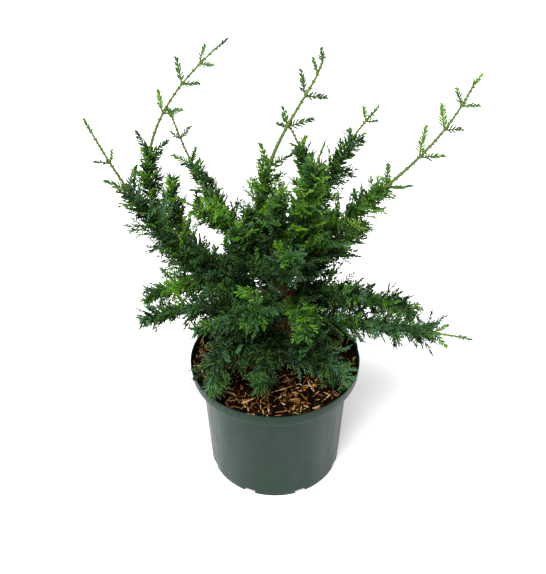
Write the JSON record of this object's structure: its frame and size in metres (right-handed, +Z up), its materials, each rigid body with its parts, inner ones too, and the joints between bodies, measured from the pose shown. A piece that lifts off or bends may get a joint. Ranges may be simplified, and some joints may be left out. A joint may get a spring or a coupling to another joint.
{
  "type": "dwarf hinoki cypress",
  "caption": "Young dwarf hinoki cypress with upright feathery boughs of scale-leaved sprays on a short leaning trunk, rooted in a round plastic nursery pot of bark compost.",
  "frame": {"origin": "centre of the pot's flat underside", "axes": "+Z up along the pot's axis, +X to the right and +Y away as seen from the front"},
  "size_m": [0.3904, 0.2254, 0.5001],
  "materials": {
    "pot_plastic": "semi-matte dark grey-green moulded plastic",
    "compost": "moist composted bark with tan and orange slivers",
    "bark": "orange-brown fibrous bark, yellow-green on young shoots",
    "foliage_dark": "dark green scale leaves, slightly waxy",
    "foliage_mid": "mid green scale leaves, slightly waxy",
    "foliage_blue": "blue-green scale leaves with a waxy bloom",
    "foliage_bright": "bright yellow-green scale leaves, slightly waxy"
  },
  "bodies": {
    "root": {"pot": "pot_plastic", "compost": "compost", "trunk": "bark", "bough_far_left": "bark", "bough_left_tall": "bark", "bough_left_thin": "bark", "bough_left_bright": "bark", "bough_back_centre": "bark", "bough_centre_bright": "bark", "bough_right_pair": "bark", "bough_right_long": "bark", "bough_right_mid": "bark", "bough_right_under": "bark", "bough_right_low": "bark", "bough_right_fan": "bark", "bough_left_fan": "bark", "bough_left_low": "bark", "bough_left_front": "bark", "bough_front_left": "bark", "bough_front_right": "bark", "bough_front_centre": "bark", "bough_front_bright": "bark", "bough_front_mid": "bark", "bough_front_upper": "bark", "bough_back_left": "bark", "bough_back_right": "bark", "bough_back_low": "bark", "bough_left_short": "bark", "bough_centre_left": "bark", "bough_centre_inner": "bark", "foliage_leader": "foliage_mid", "foliage_far_left": "foliage_blue", "foliage_left_tall_lower": "foliage_mid", "foliage_left_tall_upper": "foliage_mid", "foliage_left_thin": "foliage_dark", "foliage_left_bright": "foliage_bright", "foliage_back_centre": "foliage_mid", "foliage_centre_bright": "foliage_bright", "foliage_right_pair": "foliage_dark", "foliage_right_long": "foliage_mid", "foliage_right_mid": "foliage_dark", "foliage_right_under": "foliage_dark", "foliage_right_low": "foliage_blue", "foliage_right_fan": "foliage_mid", "foliage_left_fan": "foliage_bright", "foliage_left_low": "foliage_dark", "foliage_left_front": "foliage_mid", "foliage_front_left": "foliage_blue", "foliage_front_right": "foliage_blue", "foliage_front_centre": "foliage_dark", "foliage_front_bright": "foliage_bright", "foliage_front_mid": "foliage_mid", "foliage_front_upper": "foliage_dark", "foliage_back_left": "foliage_dark", "foliage_back_right": "foliage_mid", "foliage_back_low": "foliage_blue", "foliage_left_short": "foliage_dark", "foliage_centre_left": "foliage_dark", "foliage_centre_inner": "foliage_mid"}
  },
  "joints": []
}
